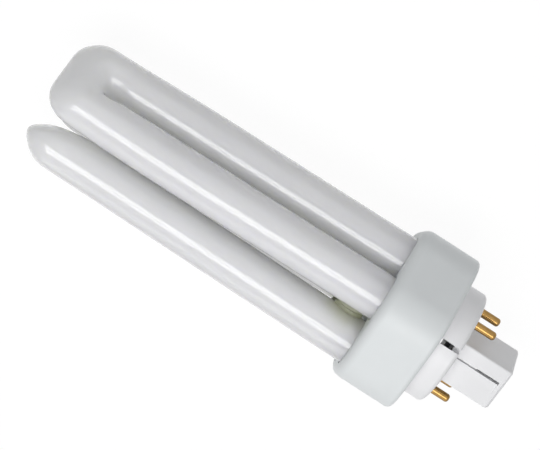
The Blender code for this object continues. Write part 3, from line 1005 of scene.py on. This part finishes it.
@dataclass
class SealedInside:
    """The CAD pieces inside the collar, which keep their shapes and get their finishes."""

    cement: str = "tube_cement"
    leads: tuple[str, ...] = tuple(f"lead_wire_{number}" for number in range(1, 5))

    def build(self) -> None:
        """Dress the cement and the lead wires."""
        cement, wire = CEMENT.material(), LEAD_WIRE.material()
        dress(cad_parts[self.cement], cement)
        for name in self.leads:
            dress(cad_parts[name], wire)
        log.info("sealed inside: %s and %d lead wires", self.cement, len(self.leads))


# Studio and camera


@dataclass(frozen=True)
class Softbox:
    """A rectangular soft light that faces the lamp, in metres and degrees.

    The climb is measured in the plane across the lamp: 0 lights it from the -Y side, and 90
    from straight above. The swing turns the light about its own beam.
    """

    name: str
    climb: float
    distance: float
    length: float
    width: float
    radiance: float
    swing: float = 0.0
    glossy: bool = True

    def build(self, middle: Vector) -> None:
        """Hang the light.

        Args:
            middle: The point that it faces.
        """
        light = bpy.data.lights.new(self.name, "AREA")
        light.shape = "RECTANGLE"
        light.size, light.size_y = self.length, self.width
        light.energy = self.radiance * math.pi * self.length * self.width
        lamp = linked(self.name, light)
        climb = math.radians(self.climb)
        back = Vector((0.0, -math.cos(climb), math.sin(climb)))
        level = Vector((1.0, 0.0, 0.0))
        swing = math.radians(self.swing)
        along = level * math.cos(swing) + back.cross(level) * math.sin(swing)
        across = back.cross(along)
        turn = Matrix((along, across, back)).transposed().to_4x4()
        lamp.matrix_world = Matrix.Translation(middle + back * self.distance) @ turn
        lamp.visible_camera = False
        lamp.visible_glossy = self.glossy


@dataclass
class Studio:
    """A plain white table and backdrop with soft light from above."""

    table_size: float = 6.0
    table_colour: Colour = (0.93, 0.93, 0.93)
    table_roughness: float = 0.9
    table_glow: float = 1.03
    shadow_share: float = 0.08
    fill: Colour = (0.10, 0.103, 0.108)
    backdrop: Colour = (1.0, 1.0, 1.0)
    middle: Triple = (0.0, 0.0, 0.02)
    lights: tuple[Softbox, ...] = (
        Softbox("key_softbox", 90.0, 0.75, 0.58, 0.35, 4.85, swing=12.0),
        Softbox("top_softbox", 112.0, 0.9, 0.9, 0.5, 0.8, glossy=False),
        Softbox("side_softbox", 145.0, 0.9, 0.95, 0.36, 0.85, swing=35.0),
        Softbox("low_window", 35.0, 0.9, 0.42, 0.9, 0.6),
    )

    def background_ray(self, tree: bpy.types.NodeTree) -> bpy.types.NodeSocket:
        """Return 1 for rays that show the background: from the camera, gloss or glass.

        Args:
            tree: The node tree that it is added to.

        Returns:
            The socket that gives the 1 or 0.
        """
        path = tree.nodes.new("ShaderNodeLightPath")
        last = path.outputs["Is Camera Ray"]
        for name in ("Is Glossy Ray", "Is Transmission Ray"):
            either = tree.nodes.new("ShaderNodeMath")
            either.operation = "MAXIMUM"
            tree.links.new(last, either.inputs[0])
            tree.links.new(path.outputs[name], either.inputs[1])
            last = either.outputs[0]
        return last

    def blend(self, tree: bpy.types.NodeTree, output: str, share: bpy.types.NodeSocket,
              lit: bpy.types.Node, seen: bpy.types.Node) -> None:
        """Mix two shaders into an output.

        Args:
            tree: The node tree.
            output: Name of its output node.
            share: How much of the seen shader there is.
            lit: The shader that lights the lamp.
            seen: The shader that shows.
        """
        mix = tree.nodes.new("ShaderNodeMixShader")
        tree.links.new(share, mix.inputs["Fac"])
        tree.links.new(lit.outputs[0], mix.inputs[1])
        tree.links.new(seen.outputs[0], mix.inputs[2])
        tree.links.new(mix.outputs[0], tree.nodes[output].inputs["Surface"])

    def build_world(self) -> None:
        """Make a world that is white to look at, and a weak even fill as a light."""
        world = bpy.data.worlds.new("studio")
        world.use_nodes = True
        tree = world.node_tree
        light, seen = tree.nodes["Background"], tree.nodes.new("ShaderNodeBackground")
        light.inputs["Color"].default_value = (*self.fill, 1.0)
        seen.inputs["Color"].default_value = (*self.backdrop, 1.0)
        self.blend(tree, "World Output", self.background_ray(tree), light, seen)
        bpy.context.scene.world = world

    def build_table(self) -> None:
        """Make the table: a white that keeps a pale shadow where a ray shows the background."""
        half = self.table_size / 2
        mesh = bpy.data.meshes.new("table")
        corners = [(-half, -half, 0), (half, -half, 0), (half, half, 0), (-half, half, 0)]
        mesh.from_pydata(corners, [], [(0, 1, 2, 3)])
        table = linked("table", mesh)
        material = bpy.data.materials.new("table_white")
        material.use_nodes = True
        tree = material.node_tree
        shader = tree.nodes["Principled BSDF"]
        shader.inputs["Base Color"].default_value = (*self.table_colour, 1.0)
        shader.inputs["Roughness"].default_value = self.table_roughness
        glow = tree.nodes.new("ShaderNodeEmission")
        glow.inputs["Strength"].default_value = self.table_glow
        share = tree.nodes.new("ShaderNodeMath")
        share.operation = "MULTIPLY"
        share.inputs[1].default_value = 1.0 - self.shadow_share
        tree.links.new(self.background_ray(tree), share.inputs[0])
        self.blend(tree, "Material Output", share.outputs[0], shader, glow)
        mesh.materials.append(material)

    def build(self) -> None:
        """Build the whole studio."""
        self.build_world()
        self.build_table()
        for light in self.lights:
            light.build(Vector(self.middle))
        bpy.context.scene.view_settings.view_transform = "Standard"
        log.info("studio: %d softboxes", len(self.lights))


@dataclass(frozen=True)
class PhotoCamera:
    """The photograph's view, from a fit of the lamp's edges in it. Metres and degrees.

    Azimuth 0 looks along +Y and 90 along -X. The lamp was photographed almost upside down, so
    the camera is rolled.
    """

    target: Triple = (0.00358, -0.00138, 0.0207)
    distance: float = 0.52896
    azimuth: float = 7.575
    elevation: float = 61.900
    roll: float = 155.238
    focal_px: float = 2000.0
    image_px: float = 540.0
    sensor_mm: float = 36.0

    def build(self) -> None:
        """Make the camera and set it as the scene's."""
        a, e, r = (math.radians(value) for value in (self.azimuth, self.elevation, self.roll))
        back = Vector((math.sin(a) * math.cos(e), -math.cos(a) * math.cos(e), math.sin(e)))
        level_right = (-back).cross(Vector((0.0, 0.0, 1.0))).normalized()
        level_up = level_right.cross(-back)
        right = level_right * math.cos(r) - level_up * math.sin(r)
        up = level_right * math.sin(r) + level_up * math.cos(r)
        data = bpy.data.cameras.new("photo_camera")
        data.sensor_width = self.sensor_mm
        data.lens = self.sensor_mm * self.focal_px / self.image_px
        camera = linked("photo_camera", data)
        turn = Matrix((right, up, back)).transposed().to_4x4()
        camera.matrix_world = Matrix.Translation(Vector(self.target) + back * self.distance) @ turn
        bpy.context.scene.camera = camera
        log.info("camera: %.0f mm lens, %.3f m away", data.lens, self.distance)


def main() -> None:
    """Build the lamp piece by piece, then the studio and the camera."""
    logging.basicConfig(level=logging.INFO, format="%(name)s: %(message)s")
    glass, collar, pins, cap = GlassBody(), Collar(), ContactPins(), BaseCap()
    glass.build()
    apothem = collar.build(glass)
    cap.build(collar, apothem, pins)
    pins.build(cap.face, cap.inside)
    SealedInside().build()
    Studio().build()
    PhotoCamera().build()


if __name__ == "__main__":
    main()
